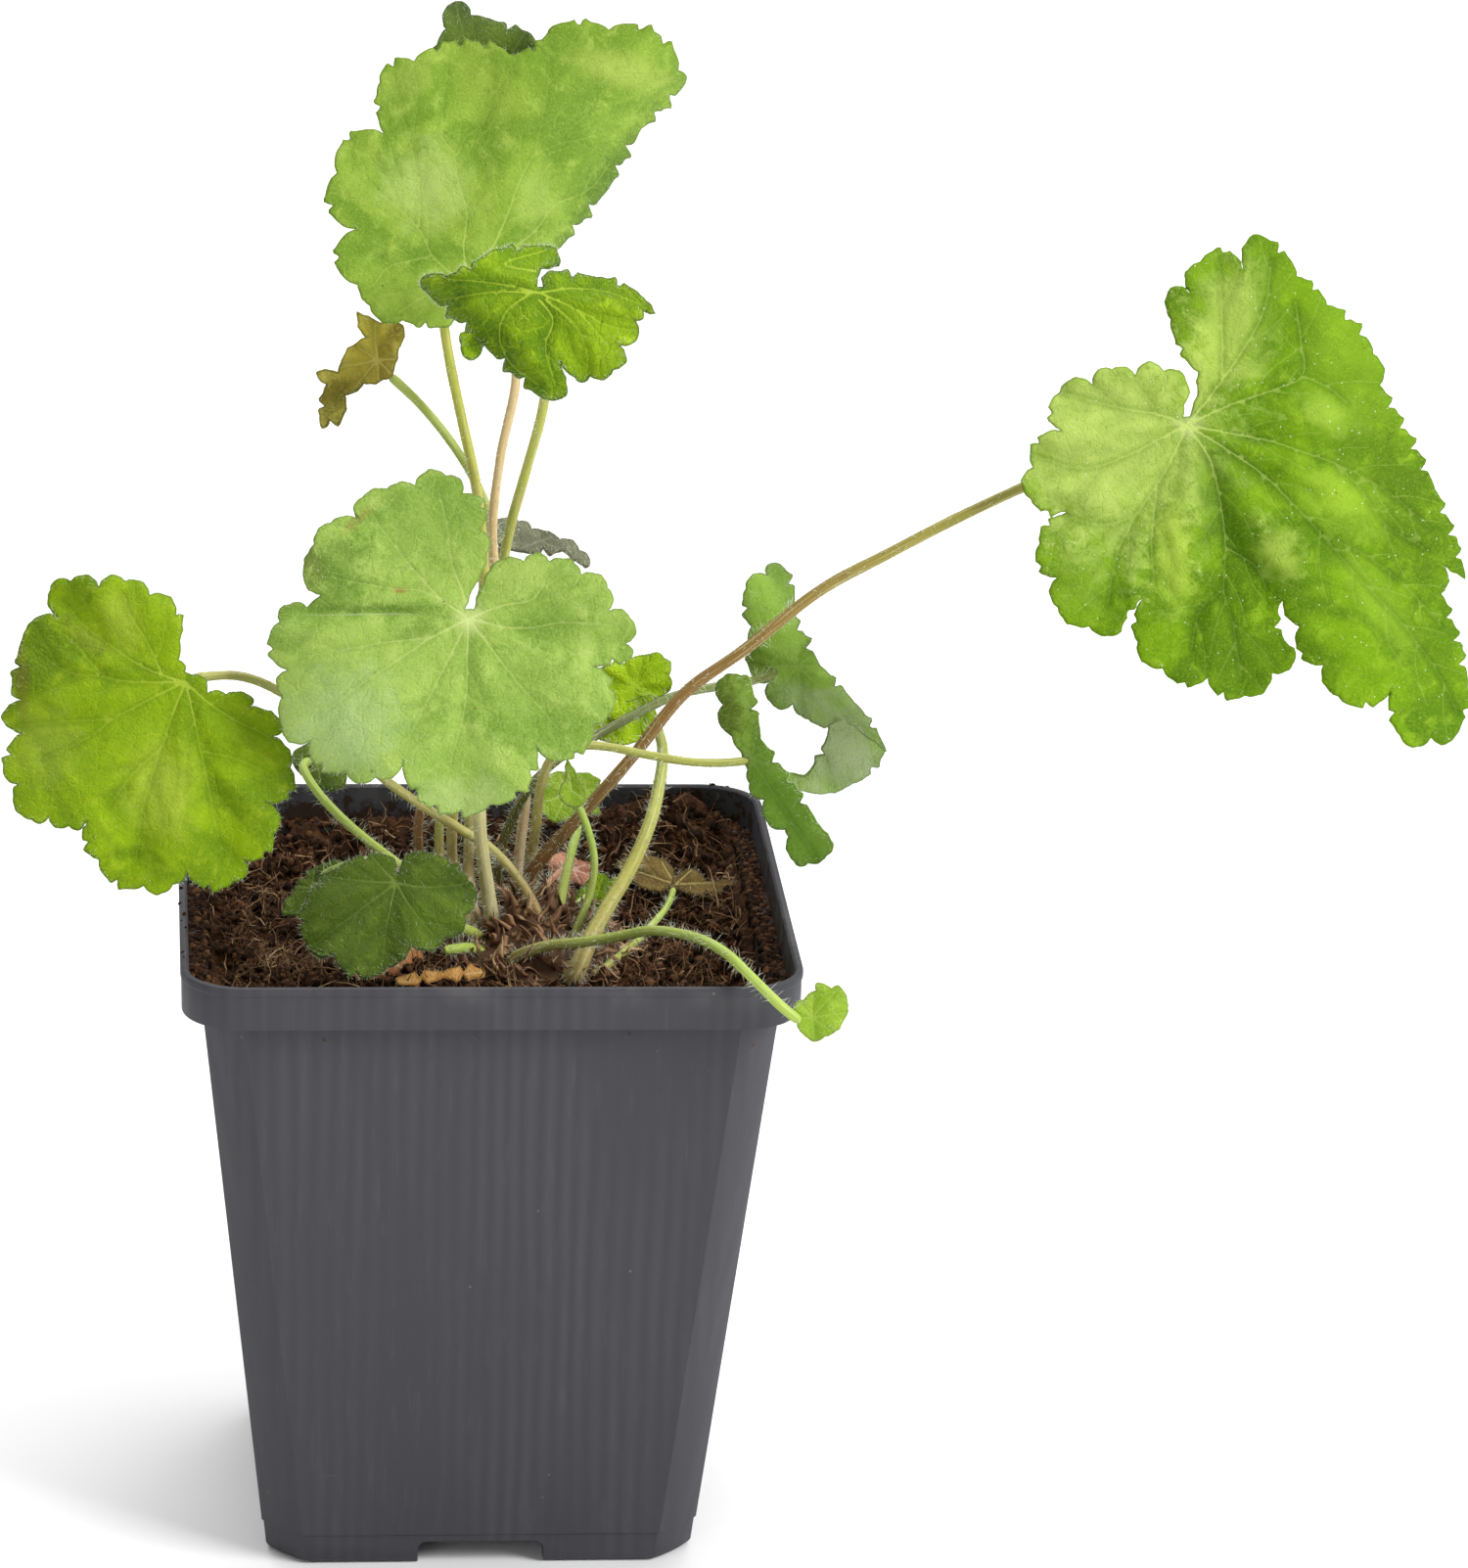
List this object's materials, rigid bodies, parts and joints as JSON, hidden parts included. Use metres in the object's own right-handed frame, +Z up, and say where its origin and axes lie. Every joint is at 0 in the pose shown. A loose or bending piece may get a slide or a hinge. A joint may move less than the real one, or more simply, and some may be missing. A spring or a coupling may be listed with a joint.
{
  "type": "potted musk mallow",
  "caption": "Young potted musk mallow: a clump of long-stalked, round, lobed and toothed leaves rising from compost in a square tapered nursery pot.",
  "frame": {"origin": "centre of the pot's base, on the surface that it stands on", "axes": "+Z up, +Y away from the side that the picture shows, +X to the right of that side"},
  "size_m": [0.2172, 0.097, 0.2242],
  "materials": {
    "pot_plastic": "satin, finely streaked",
    "compost": "rough, loose, damp",
    "crown": "rough, papery",
    "leaf_light": "matte, softly hairy",
    "leaf_fresh": "matte, softly hairy",
    "leaf_vivid": "matte, softly hairy",
    "leaf_mid": "matte, softly hairy",
    "leaf_dark": "matte, softly hairy",
    "leaf_grey": "matte, hairy",
    "leaf_withered": "matte, dry",
    "leaf_dry": "matte, dry",
    "stalk_olive": "satin, hairy",
    "stalk_tan": "satin, hairy",
    "stalk_brown": "satin, hairy",
    "stalk_green": "satin, hairy"
  },
  "bodies": {
    "root": {"blade_back_edge": "leaf_grey", "blade_back_top": "leaf_dark", "blade_crinkled": "leaf_vivid", "blade_dead_pink": "leaf_dry", "blade_far_right": "leaf_fresh", "blade_folded_young": "leaf_fresh", "blade_front": "leaf_light", "blade_left_back": "leaf_dark", "blade_low_dark": "leaf_dark", "blade_low_left": "leaf_vivid", "blade_over_rim": "leaf_fresh", "blade_pale_back": "leaf_fresh", "blade_right_curled": "leaf_mid", "blade_right_edge": "leaf_mid", "blade_seedling": "leaf_withered", "blade_serrated": "leaf_vivid", "blade_shaded": "leaf_dark", "blade_tall_front": "leaf_vivid", "blade_tall_left": "leaf_light", "blade_withered": "leaf_withered", "compost": "compost", "crown": "crown", "cut_stub": "stalk_green", "dead_leaf_front": "leaf_dry", "dead_leaf_middle": "leaf_dry", "pot": "pot_plastic", "stalk_back_edge": "stalk_brown", "stalk_back_top": "stalk_olive", "stalk_crinkled": "stalk_olive", "stalk_dead_pink": "stalk_brown", "stalk_far_right": "stalk_brown", "stalk_folded_young": "stalk_green", "stalk_front": "stalk_olive", "stalk_left_back": "stalk_green", "stalk_low_dark": "stalk_green", "stalk_low_left": "stalk_olive", "stalk_over_rim": "stalk_green", "stalk_pale_back": "stalk_green", "stalk_right_curled": "stalk_olive", "stalk_right_edge": "stalk_olive", "stalk_seedling": "stalk_green", "stalk_serrated": "stalk_green", "stalk_shaded": "stalk_green", "stalk_tall_front": "stalk_olive", "stalk_tall_left": "stalk_tan", "stalk_withered": "stalk_green"}
  },
  "joints": []
}
